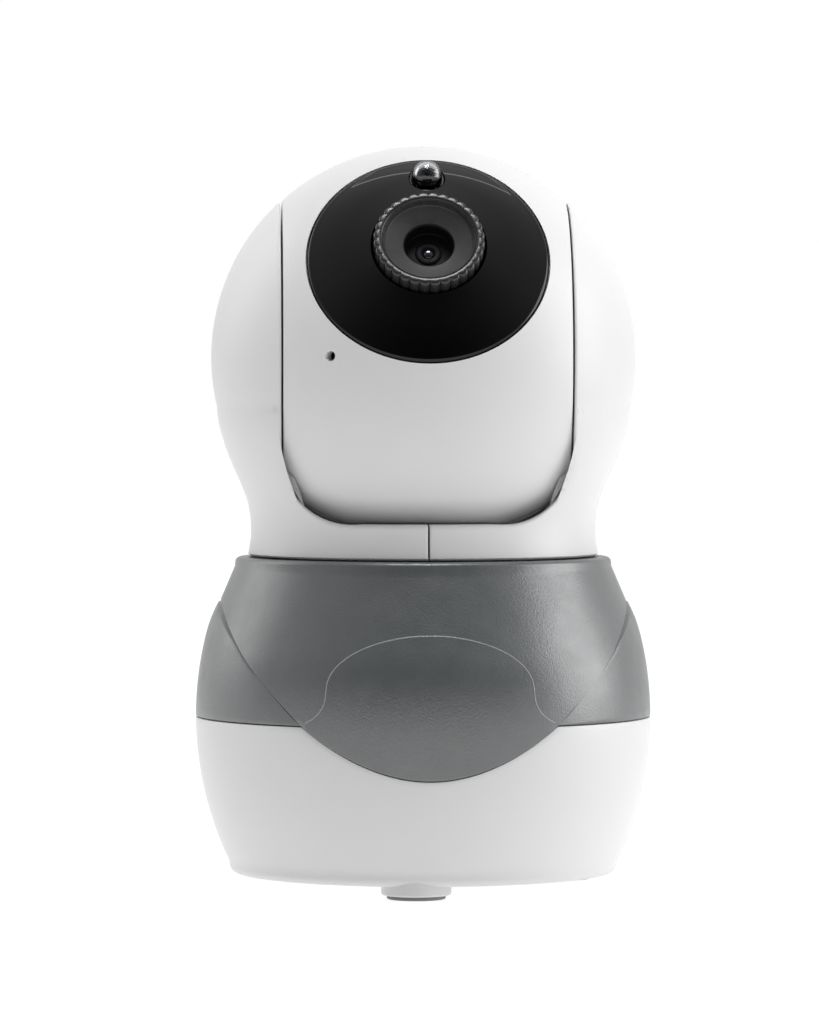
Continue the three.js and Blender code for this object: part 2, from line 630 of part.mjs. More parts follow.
const head = new THREE.Group();
head.position.z = TILT_AXIS_Z;
head.rotation.x = radians(90 - LENS_ELEVATION);
head.add(
  piece("ball_front_shell", ballHalf(true), whitePlastic),
  piece("ball_rear_shell", ballHalf(false), whitePlastic),
  piece("faceplate", faceplate(), smokedPlastic),
  piece("light_sensor_dome", sensorDome(), clearPlastic),
  piece("light_sensor", lightSensor(), blackPlastic),
  piece("emitter_board", emitterBoard(), circuitBoard),
  piece("lens_holder", lensHolder(), blackPlastic),
  piece("sensor_board", sensorBoard(), circuitBoard),
  piece("image_sensor", imageSensor(), lensGlass),
  piece("microphone", microphone(), steel),
  piece("tilt_motor", tiltMotor(), steel),
  ...samples(0, EMITTERS - 1, EMITTERS - 1).map((i) =>
    piece(`infrared_emitter_${i + 1}`, emitter(i), clearPlastic)),
  ballScrew(0),
  ballScrew(1),
);
camera.add(head);

const focus = new THREE.Group();
focus.add(
  piece("focus_ring", focusRing(), blackPlastic),
  piece("lens_barrel", lensBarrel(), blackPlastic),
  piece("front_lens", frontLens(), lensGlass),
);
head.add(focus);

export default camera;
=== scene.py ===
# Baby monitor camera: fine meshes, materials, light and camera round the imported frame.
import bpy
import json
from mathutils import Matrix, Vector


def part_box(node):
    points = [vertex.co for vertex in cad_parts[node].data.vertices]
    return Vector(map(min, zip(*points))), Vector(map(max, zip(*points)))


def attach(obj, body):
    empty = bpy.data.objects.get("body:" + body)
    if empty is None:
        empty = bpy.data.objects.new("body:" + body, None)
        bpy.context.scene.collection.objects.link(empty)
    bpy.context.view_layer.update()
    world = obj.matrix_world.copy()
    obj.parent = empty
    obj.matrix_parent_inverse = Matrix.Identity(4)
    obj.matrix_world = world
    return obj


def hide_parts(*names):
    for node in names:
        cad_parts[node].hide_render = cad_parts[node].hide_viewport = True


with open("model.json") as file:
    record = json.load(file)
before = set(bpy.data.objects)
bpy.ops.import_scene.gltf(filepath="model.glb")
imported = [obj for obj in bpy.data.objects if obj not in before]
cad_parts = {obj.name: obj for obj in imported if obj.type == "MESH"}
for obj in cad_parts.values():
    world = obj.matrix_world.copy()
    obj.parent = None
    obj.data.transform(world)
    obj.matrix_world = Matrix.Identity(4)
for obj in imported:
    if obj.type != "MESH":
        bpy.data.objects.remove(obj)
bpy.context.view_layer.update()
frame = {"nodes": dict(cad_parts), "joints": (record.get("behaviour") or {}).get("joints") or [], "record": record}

import json
import math

import bpy
import numpy as np
from mathutils import Matrix, Vector
from mathutils.bvhtree import BVHTree

MM = 0.001  # shapes below are worked out in millimetres and scaled once


def box_mm(node):
    low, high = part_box(node)
    return [c / MM for c in low], [c / MM for c in high]


# ------------------------------------------------------------------ sizes from the frame

JOINTS = {joint["name"]: joint for joint in frame["joints"]}
TILT_Z = JOINTS["tilt"]["pos_m"][2] / MM
LENS_AXIS = Vector(JOINTS["focus_turn"]["axis"]).normalized()

# Base: the grey cover meets the white shell at JOINT_Z and dips to DIP_Z at the front and back.
JOINT_Z = 30.0
DIP_Z = 20.9
SEAM = 0.06  # half the fine gap between the two
LEDGE_Z = box_mm("base_top_cover")[1][2]  # the cover's flat top, under the yoke
BOTTOM_Z = 2.4
WALL = 2.2
CORNER_AZIMUTH = 33.3  # where the crease meets the dip, in degrees from the front
SIDE_ARC_R = 58.6  # radius of the bulging side, and the radius at which that arc has its centre
SIDE_ARC_CENTRE = -18.55
SIDE_CURL_Z = 45.0  # above this height the side panel curls in under the crease
SIDE_CURL = 0.018
CREASE_DEPTH = 0.32
CREASE_HALF = 0.3  # half the groove's height
SHIELD = [(19.0, 39.45), (22.0, 39.9), (27.0, 40.4), (31.0, 40.6), (35.0, 40.5), (38.0, 40.15),
          (41.0, 39.45), (45.0, 37.95), (49.0, 36.3), (53.2, 34.5), (56.6, 33.05)]  # (height, radius)

# Controls on the back: angles from straight back, and their height.
BUTTON_ANGLE = -38.0
SWITCH_ANGLE = 38.0
CONTROL_Z = 16.0

# Yoke: a turned shape with a slot for the ball, whose corners are round.
SKIRT_Z = 58.25
YOKE_FOOT_R = 30.8
YOKE_WALL = 2.0
FOOT_CHAMFER = 0.35
EAR_R = 37.3
EAR_Z = 84.0  # above this height the yoke is a sphere round the tilt axis
CHEEK_X = 25.2
SLOT_Z = 64.3
SLOT_CORNER = 12.0
YOKE_TABLE = [(58.6, 30.8), (60.6, 30.45), (62.7, 30.3), (65.3, 30.45), (68.0, 31.0), (70.6, 32.0),
              (73.2, 33.15), (75.9, 34.25), (78.5, 35.15), (81.2, 35.9), (EAR_Z, 36.35)]  # (height, radius)

# Ball and what it carries.
BALL_R = 37.1
FLAT_X = 24.9
SPLIT = 0.15  # half the gap between the ball's halves, on the tilt axis
PLATE_DOME_R = 42.0  # the glossy face is a little flatter than the ball round it
PLATE_RIM_R = 20.4
BORE_R = 9.95  # the hole in the faceplate, round the focus ring
SENSOR_RADIUS = 16.0  # distance of the light sensor from the lens axis
KNURLS = 32
RING_R = 9.55
RING_FRONT = 37.6

# The head's own frame: X is the tilt axis and +Z is the lens axis.
LENS_TURN = Vector((0, 0, 1)).rotation_difference(LENS_AXIS).to_matrix().to_4x4()
HEAD = Matrix.Translation((0, 0, TILT_Z)) @ LENS_TURN


# ------------------------------------------------------------------ mesh helpers

def signed_volume(verts, faces):
    """Six times the volume that the faces enclose; negative when they point inwards."""
    total = 0.0
    for face in faces:
        ax, ay, az = verts[face[0]]
        for second, third in zip(face[1:], face[2:]):
            bx, by, bz = verts[second]
            cx, cy, cz = verts[third]
            total += ax * (by * cz - bz * cy) + ay * (bz * cx - bx * cz) + az * (bx * cy - by * cx)
    return total


def make_object(name, verts, faces, matrix=None, sharp=35):
    """A smooth-shaded mesh object from millimetre points, with its faces turned outwards."""
    points = [Vector(v) for v in verts]
    if signed_volume(points, faces) < 0:
        faces = [tuple(reversed(face)) for face in faces]
    mesh = bpy.data.meshes.new(name)
    if matrix is not None:
        points = [matrix @ p for p in points]
    mesh.from_pydata([p * MM for p in points], [], faces)
    mesh.validate()
    shade(mesh, sharp)
    obj = bpy.data.objects.new(name, mesh)
    bpy.context.scene.collection.objects.link(obj)
    return obj


def shade(mesh, sharp=35):
    mesh.polygons.foreach_set("use_smooth", [True] * len(mesh.polygons))
    mesh.set_sharp_from_angle(angle=math.radians(sharp))
    mesh.update()


def loft(sections, wrap=False):
    """Faces between closed sections of equal length; open ends are capped."""
    rows = len(sections)
    count = len(sections[0])
    verts = [p for section in sections for p in section]
    faces = []
    for i in range(rows if wrap else rows - 1):
        a, b = i * count, ((i + 1) % rows) * count
        for j in range(count):
            k = (j + 1) % count
            faces.append((a + j, a + k, b + k, b + j))
    if not wrap:
        faces.append(tuple(reversed(range(count))))
        faces.append(tuple(range((rows - 1) * count, rows * count)))
    return verts, faces


def turned(profile, steps=96):
    """Verts and faces of a [radius, z] profile turned round Z; ends on the axis become poles."""
    on_axis = profile[0][0] < 1e-9
    rings = [p for p in profile if p[0] > 1e-9]
    angles = [2 * math.pi * i / steps for i in range(steps)]
    verts = [(r * math.cos(t), r * math.sin(t), z) for t in angles for r, z in rings]
    count = len(rings)
    faces = []
    for i in range(steps):
        a, b = i * count, ((i + 1) % steps) * count
        for j in range(count - 1 if on_axis else count):
            k = (j + 1) % count
            faces.append((a + j, b + j, b + k, a + k))
    if on_axis:
        verts += [(0, 0, profile[0][1]), (0, 0, profile[-1][1])]
        first, last = len(verts) - 2, len(verts) - 1
        for i in range(steps):
            a, b = i * count, ((i + 1) % steps) * count
            faces.append((first, b, a))
            faces.append((last, a + count - 1, b + count - 1))
    return verts, faces


def rounded(points, radius, steps=5, keep_ends=False):
    """A closed outline (or an open one, with keep_ends) with each corner rounded by the radius."""
    result = []
    count = len(points)
    for i, corner in enumerate(points):
        if keep_ends and i in (0, count - 1):
            result.append(tuple(corner))
            continue
        p = np.array(corner, dtype=float)
        r = radius[i] if isinstance(radius, (list, tuple)) else radius
        before = np.array(points[i - 1], dtype=float) - p
        after = np.array(points[(i + 1) % count], dtype=float) - p
        la, lb = np.linalg.norm(before), np.linalg.norm(after)
        cosine = float(np.dot(before, after) / (la * lb))
        half = math.acos(max(-1.0, min(1.0, cosine))) / 2
        if r <= 0 or half > math.radians(86):
            result.append(tuple(corner))
            continue
        reach = min(r / math.tan(half), la * 0.45, lb * 0.45)
        start, end = p + before / la * reach, p + after / lb * reach
        for k in range(steps + 1):
            t = k / steps
            result.append(tuple((1 - t) ** 2 * start + 2 * t * (1 - t) * p + t ** 2 * end))
    return result


def arc(centre, radius, start, end, steps):
    return [(centre[0] + radius * math.cos(math.radians(a)), centre[1] + radius * math.sin(math.radians(a)))
            for a in np.linspace(start, end, steps + 1)]


def apply_boolean(obj, tool, operation):
    modifier = obj.modifiers.new("cut", "BOOLEAN")
    modifier.operation = operation
    modifier.solver = "MANIFOLD"
    modifier.object = tool
    graph = bpy.context.evaluated_depsgraph_get()
    mesh = bpy.data.meshes.new_from_object(obj.evaluated_get(graph))
    obj.modifiers.clear()
    old = obj.data
    obj.data = mesh
    bpy.data.meshes.remove(old)
    bpy.data.objects.remove(tool)


def carve(obj, cutters=(), additions=(), sharp=35):
    """Adds and cuts closed tools, then gives the untouched surface its old normals back."""
    source = obj.data.copy()
    for tool in additions:
        apply_boolean(obj, tool, "UNION")
    for tool in cutters:
        apply_boolean(obj, tool, "DIFFERENCE")
    shade(obj.data, sharp)
    restore_normals(obj.data, source)
    bpy.data.meshes.remove(source)


def restore_normals(mesh, source):
    """Copies the corner normals of the source onto the faces that still lie on its surface."""
    reach, same_way, close_enough = 2e-5, 0.97, 0.8
    tree = BVHTree.FromPolygons([v.co for v in source.vertices], [p.vertices for p in source.polygons])
    corner_normals = [Vector(n.vector) for n in source.corner_normals]
    normals = [Vector(n.vector) for n in mesh.corner_normals]
    for polygon in mesh.polygons:
        _, normal, index, distance = tree.find_nearest(polygon.center)
        if index is None or distance > reach or normal.dot(polygon.normal) < same_way:
            continue
        for loop in polygon.loop_indices:
            point = mesh.vertices[mesh.loops[loop].vertex_index].co
            spot, _, near, _ = tree.find_nearest(point + (polygon.center - point) * 1e-3)
            face = source.polygons[near]
            corners = [source.vertices[v].co for v in face.vertices]
            weights = [1 / max((spot - c).length, 1e-9) ** 2 for c in corners]
            blend = sum((corner_normals[c] * w for c, w in zip(face.loop_indices, weights)), Vector())
            if blend.length and blend.normalized().dot(polygon.normal) > close_enough:
                normals[loop] = blend.normalized()
    mesh.normals_split_custom_set([tuple(n) for n in normals])


def finish_piece(obj, material, body, slot, *nodes):
    obj.data.materials.clear()
    obj.data.materials.append(material)
    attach(obj, body)
    if nodes:
        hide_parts(*nodes)
    return obj


# ------------------------------------------------------------------ materials

def noise_node(nodes, links, coordinates, scale, detail=3.0, roughness=0.5):
    node = nodes.new("ShaderNodeTexNoise")
    node.inputs["Scale"].default_value = scale
    node.inputs["Detail"].default_value = detail
    node.inputs["Roughness"].default_value = roughness
    links.new(coordinates.outputs["Object"], node.inputs["Vector"])
    return node


def ramp_node(nodes, links, source, low, high, start=0.3, end=0.7):
    node = nodes.new("ShaderNodeValToRGB")
    node.color_ramp.elements[0].position = start
    node.color_ramp.elements[1].position = end
    node.color_ramp.elements[0].color = (*low, 1)
    node.color_ramp.elements[1].color = (*high, 1)
    links.new(source, node.inputs["Fac"])
    return node


def plastic(name, colour, roughness, variation=0.03, grain=900.0, bump=0.02, bump_scale=2500.0,
            metallic=0.0, specular=0.5, coat=0.0, bump_detail=2.0, ior=1.5):
    """Moulded or machined surface: slow colour drift, mottled gloss and a fine surface texture."""
    material = bpy.data.materials.new(name)
    material.use_nodes = True
    nodes, links = material.node_tree.nodes, material.node_tree.links
    shader = nodes["Principled BSDF"]
    shader.inputs["Metallic"].default_value = metallic
    shader.inputs["Specular IOR Level"].default_value = specular
    shader.inputs["IOR"].default_value = ior
    shader.inputs["Coat Weight"].default_value = coat
    shader.inputs["Coat Roughness"].default_value = 0.08
    coordinates = nodes.new("ShaderNodeTexCoord")
    drift = noise_node(nodes, links, coordinates, grain, 4.0)
    low = tuple(max(0.0, c * (1 - variation)) for c in colour)
    high = tuple(min(1.0, c * (1 + variation)) for c in colour)
    tint = ramp_node(nodes, links, drift.outputs["Fac"], low, high)
    links.new(tint.outputs["Color"], shader.inputs["Base Color"])
    gloss = nodes.new("ShaderNodeMapRange")
    gloss.inputs["From Min"].default_value = 0.3
    gloss.inputs["From Max"].default_value = 0.7
    gloss.inputs["To Min"].default_value = roughness * 0.88
    gloss.inputs["To Max"].default_value = min(1.0, roughness * 1.12)
    mottle = noise_node(nodes, links, coordinates, grain * 0.35, 3.0)
    links.new(mottle.outputs["Fac"], gloss.inputs["Value"])
    links.new(gloss.outputs["Result"], shader.inputs["Roughness"])
    if bump:
        texture = noise_node(nodes, links, coordinates, bump_scale, bump_detail)
        relief = nodes.new("ShaderNodeBump")
        relief.inputs["Strength"].default_value = bump
        relief.inputs["Distance"].default_value = 0.0001
        links.new(texture.outputs["Fac"], relief.inputs["Height"])
        links.new(relief.outputs["Normal"], shader.inputs["Normal"])
    return material


def clear_material(name, colour, roughness=0.02, ior=1.5):
    material = plastic(name, colour, roughness, 0.01, 400.0, 0.0)
    shader = material.node_tree.nodes["Principled BSDF"]
    shader.inputs["Transmission Weight"].default_value = 1.0
    shader.inputs["IOR"].default_value = ior
    return material


WHITE = plastic("white_moulding", (0.66, 0.66, 0.66), 0.38, 0.010, 60.0, 0.05, 5200.0)
GREY = plastic("grey_textured_moulding", (0.064, 0.071, 0.073), 0.34, 0.05, 700.0, 0.4, 2900.0,
               specular=0.95, bump_detail=1.5, ior=1.65)
# The raised hairline's light grey, much lighter than the cover's grey moulding, is a painted highlight along the
# line.
HAIRLINE_PAINTED_HIGHLIGHT = plastic("grey_parting_line_painted_highlight", (0.24, 0.25, 0.26), 0.4, 0.05, 900.0, 0.05)
SMOKED = plastic("smoked_faceplate", (0.001, 0.001, 0.001), 0.035, 0.1, 200.0, 0.004, 900.0, specular=0.35)
BLACK = plastic("black_moulding", (0.013, 0.013, 0.013), 0.28, 0.12, 900.0, 0.06, 4200.0)
MATT_BLACK = plastic("matt_black_funnel", (0.026, 0.026, 0.026), 0.45, 0.12, 1200.0, 0.08, 5200.0)
# Near-black for the light sensor's eye and the lens well. The eye's black is its own. In the lens well it is
# darker than the other black mouldings, as painted shade of the deep recess.
DEEP_BLACK_AND_PAINTED_SHADE = plastic("lens_well_black_and_painted_shade", (0.003, 0.003, 0.003), 0.6, 0.12, 1200.0, 0.05, 5200.0,
                     specular=0.15)
RUBBER = plastic("grey_rubber", (0.20, 0.205, 0.21), 0.8, 0.06, 900.0, 0.2, 3200.0)
ACETAL = plastic("acetal", (0.72, 0.70, 0.64), 0.45, 0.03, 500.0, 0.05, 3000.0)
BRASS = plastic("brass", (0.72, 0.52, 0.22), 0.28, 0.06, 900.0, 0.08, 4000.0, metallic=1.0)
STEEL = plastic("plated_steel", (0.60, 0.61, 0.63), 0.30, 0.05, 900.0, 0.08, 4000.0, metallic=1.0)
BALLAST = plastic("pressed_steel", (0.34, 0.35, 0.36), 0.45, 0.12, 500.0, 0.15, 1800.0, metallic=1.0)
BOARD = plastic("solder_resist", (0.02, 0.16, 0.07), 0.35, 0.15, 1500.0, 0.1, 2600.0)
JACKET = plastic("cable_jacket", (0.02, 0.02, 0.022), 0.45, 0.1, 900.0, 0.1, 3000.0)
CLEAR = clear_material("clear_plastic", (0.60, 0.62, 0.64))
GLASS = plastic("coated_lens", (0.006, 0.009, 0.016), 0.02, 0.2, 300.0, 0.0, coat=1.0)

SLOT_MATERIALS = {
    "white_plastic": WHITE, "grey_cover_plastic": GREY, "smoked_plastic": SMOKED, "black_plastic": BLACK,
    "clear_plastic": CLEAR, "lens_glass": GLASS, "grey_rubber": RUBBER, "acetal": ACETAL, "brass": BRASS,
    "plated_steel": STEEL, "ballast_steel": BALLAST, "circuit_board": BOARD, "cable_jacket": JACKET,
}


def dress_cad_nodes():
    slots = {row["node"]: row["material_slot"] for row in frame["record"]["subparts"]}
    for name, obj in frame["nodes"].items():
        obj.data.materials.clear()
        obj.data.materials.append(SLOT_MATERIALS[slots[name]])


# ------------------------------------------------------------------ base

def side_radius(z):
    radius = SIDE_ARC_CENTRE + math.sqrt(SIDE_ARC_R ** 2 - (z - JOINT_Z) ** 2)
    return radius - SIDE_CURL * max(0.0, z - SIDE_CURL_Z) ** 2


def smooth_lookup(table, x):
    """Catmull-Rom through the table's points."""
    keys = [row[0] for row in table]
    x = min(max(x, keys[0]), keys[-1])
    i = min(max(int(np.searchsorted(keys, x)) - 1, 0), len(table) - 2)
    (x0, y0), (x1, y1) = table[i], table[i + 1]
    before = table[i - 1] if i > 0 else (2 * x0 - x1, 2 * y0 - y1)
    after = table[i + 2] if i + 2 < len(table) else (2 * x1 - x0, 2 * y1 - y0)
    m0 = (y1 - before[1]) / (x1 - before[0]) * (x1 - x0)
    m1 = (after[1] - y0) / (after[0] - x0) * (x1 - x0)
    t = (x - x0) / (x1 - x0)
    return ((2 * t ** 3 - 3 * t ** 2 + 1) * y0 + (t ** 3 - 2 * t ** 2 + t) * m0
            + (3 * t ** 2 - 2 * t ** 3) * y1 + (t ** 3 - t ** 2) * m1)


def shield_radius(z):
    return smooth_lookup(SHIELD, z)


def folded(azimuth):
    """Azimuth from the nearer of front and back, 0 to 90."""
    a = abs((azimuth + 180) % 360 - 180)
    return min(a, 180 - a)


def joint_height(azimuth):
    """Height of the line between the white shell and the grey cover."""
    a = folded(azimuth)
    if a >= CORNER_AZIMUTH:
        return JOINT_Z
    x = math.sin(math.radians(a)) / math.sin(math.radians(CORNER_AZIMUTH))
    return DIP_Z + (JOINT_Z - DIP_Z) * x ** 2


def crease_height(azimuth):
    a = folded(azimuth)
    if a < CORNER_AZIMUTH:
        return joint_height(azimuth) + SEAM + max(0.06, 3.0 * (1 - (a / CORNER_AZIMUTH) ** 2))
    t = (a - CORNER_AZIMUTH) / (90 - CORNER_AZIMUTH)
    return JOINT_Z + SEAM + max(0.06, 20.3 * (1 - (1 - t) ** 1.75))


def azimuths(step=1.0):
    values = set(np.arange(0, 360, step).round(3))
    for corner in (CORNER_AZIMUTH, 180 - CORNER_AZIMUTH, 180 + CORNER_AZIMUTH, 360 - CORNER_AZIMUTH):
        values = {v for v in values if abs(v - corner) > step * 0.4} | {corner}
    return sorted(values)


def around(azimuth, radius, z):
    a = math.radians(azimuth)
    return (radius * math.sin(a), -radius * math.cos(a), z)


def cover_section(azimuth):
    """The cover's closed section: the side panel below the crease, the shield above it, and the inside."""
    low = joint_height(azimuth) + SEAM
    crease = crease_height(azimuth)
    fade = min(1.0, max(0.0, (folded(azimuth) - CORNER_AZIMUTH) / 3.0))  # the groove's share of its depth
    if fade:
        lower = side_radius
        valley = min(side_radius(crease), shield_radius(crease)) - CREASE_DEPTH * fade
    else:
        lower = shield_radius
        valley = shield_radius(crease)
    panel_top = max(low + 0.22, crease - CREASE_HALF * fade)
    points = [(lower(low) - 0.35, low), (lower(low) - 0.1, low + 0.04)]
    points += [(lower(z), z) for z in np.linspace(low + 0.2, panel_top, 16)]
    points += [(valley, crease - 0.02)]
    points += [(shield_radius(z), z) for z in np.linspace(crease + CREASE_HALF, 56.4, 30)]
    points += arc((32.15, 57.05), 0.95, 12, 90, 8)
    points += [(30.0, LEDGE_Z), (27.6, LEDGE_Z), (27.1, LEDGE_Z - 0.15), (27.0, LEDGE_Z - 0.5),
               (27.0, 55.8), (31.0, 55.8)]
    points += [(side_radius(z) - WALL, z) for z in np.linspace(50.0, max(low, 31.0), 8)]
    points += [(side_radius(low) - WALL, low)]
    return [around(azimuth, r, z) for r, z in points]


def top_cover():
    verts, faces = loft([cover_section(a) for a in azimuths()], wrap=True)
    obj = make_object("top_cover", verts, faces, sharp=50)
    finish_piece(obj, GREY, "base", "grey_cover_plastic", "base_top_cover")


def hairline():
    """The fine raised line on the front of the shield, as a thin tube along its curve, coloured light grey as a
    painted highlight.
    """
    half = [(0, 45.6), (3.4, 45.45), (6.7, 44.9), (9.9, 44.0), (12.8, 42.7), (14.9, 41.3), (16.4, 39.8),
            (17.4, 38.0), (17.75, 36.2), (17.9, 34.7), (18.5, 33.1), (19.8, 31.6), (21.3, 30.6)]
    route = [(-x, z) for x, z in reversed(half[1:])] + half
    curve = bpy.data.curves.new("shield_hairline", "CURVE")
    curve.dimensions = "3D"
    curve.bevel_depth = 0.14 * MM
    curve.bevel_resolution = 2
    curve.resolution_u = 6
    spline = curve.splines.new("BEZIER")
    spline.bezier_points.add(len(route) - 1)
    for point, (x, z) in zip(spline.bezier_points, route):
        radius = shield_radius(z) - 0.05
        point.co = Vector((x, -math.sqrt(radius ** 2 - x ** 2), z)) * MM
        point.handle_left_type = point.handle_right_type = "AUTO"
    curve.use_fill_caps = True
    obj = bpy.data.objects.new("shield_hairline", curve)
    bpy.context.scene.collection.objects.link(obj)
    graph = bpy.context.evaluated_depsgraph_get()
    mesh = bpy.data.meshes.new_from_object(obj.evaluated_get(graph))
    bpy.data.objects.remove(obj)
    line = bpy.data.objects.new("shield_hairline", mesh)
    bpy.context.scene.collection.objects.link(line)
    shade(mesh)
    finish_piece(line, HAIRLINE_PAINTED_HIGHLIGHT, "base", "grey_cover_plastic")


def lower_section(azimuth):
    """The white shell's closed section: up to the joint, down the outside, and over the floor."""
    top = joint_height(azimuth) - SEAM
    outer = [(side_radius(z), z) for z in np.linspace(top - 0.3, 4.6, 26)]
    points = [(side_radius(top) - 0.3, top), (side_radius(top) - 0.07, top - 0.08)] + outer
    points += arc((32.55, 4.0), 1.6, -2, -88, 8)
    points += [(20.0, BOTTOM_Z), (0.6, BOTTOM_Z), (0.6, 4.6), (20.0, 4.6), (31.0, 4.6)]
    points += [(side_radius(z) - WALL, z) for z in np.linspace(6.0, top, 8)]
    return [around(azimuth, r, z) for r, z in points]


def tool(verts_faces, matrix=None):
    """A closed shape for a cut or an addition; the boolean that uses it removes it."""
    return make_object("tool", *verts_faces, matrix=matrix)


def rod_tool(radius, start, end, place=(0, 0), steps=48, matrix=None):
    shape = turned([(0, start), (radius, start), (radius, end), (0, end)], steps)
    shift = Matrix.Translation((place[0], place[1], 0))
    return tool(shape, (matrix or Matrix()) @ shift)


def block_tool(xs, ys, zs, matrix=None):
    corners = [(x, y, z) for x in xs for y in ys for z in zs]
    faces = [(0, 1, 3, 2), (4, 6, 7, 5), (0, 4, 5, 1), (2, 3, 7, 6), (0, 2, 6, 4), (1, 5, 7, 3)]
    return tool((corners, faces), matrix)


def foot_places():
    for i in (1, 2, 3):
        low, high = box_mm(f"foot_pad_{i}")
        yield (low[0] + high[0]) / 2, (low[1] + high[1]) / 2


def lower_shell():
    verts, faces = loft([lower_section(a) for a in azimuths()], wrap=True)
    obj = make_object("lower_shell", verts, faces)
    collar = turned([(0, 4.0)] + [(6.05, 4.0), (6.05, 3.0)] + rounded(
        [(6.05, 2.4), (6.05, 0.7), (0, 0.7)], 0.5, 5, keep_ends=True), 64)
    additions = [tool(collar, Matrix.Translation((x, y, 0))) for x, y in foot_places()]
    cutters = [rod_tool(5.4, 0.0, 1.8, place) for place in foot_places()]
    cutters += [rod_tool(2.6, 1.0, 6.0, place, 32) for place in foot_places()]
    for y in (-8, -4, 0, 4, 8):
        half = math.sqrt(11.5 ** 2 - y ** 2)
        cutters.append(block_tool((-half, half), (y - 0.8, y + 0.8), (1, 6)))
    low, high = box_mm("power_inlet")
    cutters.append(window_tool((low[0] + high[0]) / 2, (low[2] + high[2]) / 2, 11, 5.2, 1.4, Matrix()))
    turn = Matrix.Rotation(math.radians(BUTTON_ANGLE), 4, "Z")
    cutters.append(window_tool(0, CONTROL_Z, 6.4, 6.4, 3.19, turn))
    turn = Matrix.Rotation(math.radians(SWITCH_ANGLE), 4, "Z")
    cutters.append(window_tool(0, CONTROL_Z, 6.8, 3.2, 0.6, turn))
    carve(obj, cutters, additions)
    finish_piece(obj, WHITE, "base", "white_plastic", "base_bottom_shell")


def rounded_rectangle(width, height, radius, steps=6):
    w, h = width / 2, height / 2
    return rounded([(-w, -h), (w, -h), (w, h), (-w, h)], radius, steps)


def window_tool(x, z, width, height, radius, turn):
    """A rounded rectangular tool through the back wall that flares a little as it leaves it."""
    outline = rounded_rectangle(width, height, radius)
    sections = []
    for y, grow in ((33.0, 0.0), (38.05, 0.0), (38.6, 0.5), (42.0, 3.2)):
        sections.append([(x + px * (1 + 2 * grow / width), y, z + pz * (1 + 2 * grow / height))
                         for px, pz in outline])
    return tool(loft(sections), turn)


def foot_pads():
    for i, (x, y) in enumerate(foot_places(), start=1):
        profile = rounded([(0, 0), (5.1, 0), (5.1, 1.5), (0, 1.5)], 0.45, 5, keep_ends=True)
        obj = make_object(f"foot_pad_{i}_rubber", *turned(profile, 64), Matrix.Translation((x, y, 0)))
        finish_piece(obj, RUBBER, "base", "grey_rubber", f"foot_pad_{i}")


# ------------------------------------------------------------------ controls on the back

def pair_button():
    turn = Matrix.Rotation(math.radians(BUTTON_ANGLE), 4, "Z") @ Matrix.Translation((0, 0, CONTROL_Z))
    lay = turn @ Matrix.Rotation(math.radians(-90), 4, "X")
    profile = [(0, 33.1), (3.9, 33.1), (3.9, 34.4), (2.9, 34.4), (2.9, 38.2)]
    profile += arc((2.3, 38.25), 0.6, 5, 85, 5) + [(1.2, 38.62), (0, 38.5)]
    obj = make_object("pair_key", *turned(profile, 64), lay)
    finish_piece(obj, WHITE, "pairing_button", "white_plastic", "pair_button")


def switch_knob():
    turn = Matrix.Rotation(math.radians(SWITCH_ANGLE), 4, "Z")
    start = -1.5
    sections = []
    plate = rounded_rectangle(5.6, 4.8, 0.3)
    tip = rounded_rectangle(3.0, 2.4, 0.3)
    for y, outline, scale in ((34.1, plate, 1), (34.7, plate, 1), (34.72, tip, 1), (37.9, tip, 1),
                              (38.5, tip, 0.94), (38.85, tip, 0.8)):
        sections.append([(start + px * scale, y, CONTROL_Z + pz * scale) for px, pz in outline])
    obj = make_object("switch_knob", *loft(sections), turn)
    middles = [start + x for x in (-0.75, 0, 0.75)]
    grooves = [block_tool((x - 0.17, x + 0.17), (38.5, 40), (CONTROL_Z - 2, CONTROL_Z + 2), turn)
               for x in middles]
    carve(obj, grooves)
    finish_piece(obj, BLACK, "power_switch", "black_plastic", "power_switch_knob")


# ------------------------------------------------------------------ yoke

def yoke_radius(z):
    if z > EAR_Z:
        return math.sqrt(max(EAR_R ** 2 - (z - TILT_Z) ** 2, 0.01))
    return smooth_lookup(YOKE_TABLE, z)


def yoke_normal(point):
    x, y, z = point
    slope = (yoke_radius(z + 0.05) - yoke_radius(z - 0.05)) / 0.1
    r = math.hypot(x, y)
    n = np.array([x / r, y / r, -slope])
    return n / np.linalg.norm(n)


def slot_edge():
    """Points (x, z) and the wall's normal along one half of the slot's edge, seam to ear tip."""
    rows = [((x, SLOT_Z), (0, 0, 1))
            for x in (0.15, 0.22, 0.4, 0.8, 1.6, 2.6, 3.8, 5, 6.2, 7.4, 8.6, 9.8, 11, 12)]
    cx, cz = CHEEK_X - SLOT_CORNER, SLOT_Z + SLOT_CORNER
    for angle in np.linspace(-90, 0, 26):
        c, s = math.cos(math.radians(angle)), math.sin(math.radians(angle))
        rows.append(((cx + SLOT_CORNER * c, cz + SLOT_CORNER * s), (-c, 0, -s)))
    rows += [((CHEEK_X, z), (-1, 0, 0)) for z in np.linspace(cz + 0.8, TILT_Z, 22)]
    ear = math.sqrt(EAR_R ** 2 - CHEEK_X ** 2)
    rows += [((CHEEK_X, TILT_Z + ear * math.sin(math.radians(a))), (-1, 0, 0))
             for a in np.linspace(2.5, 90, 36)]
    return rows


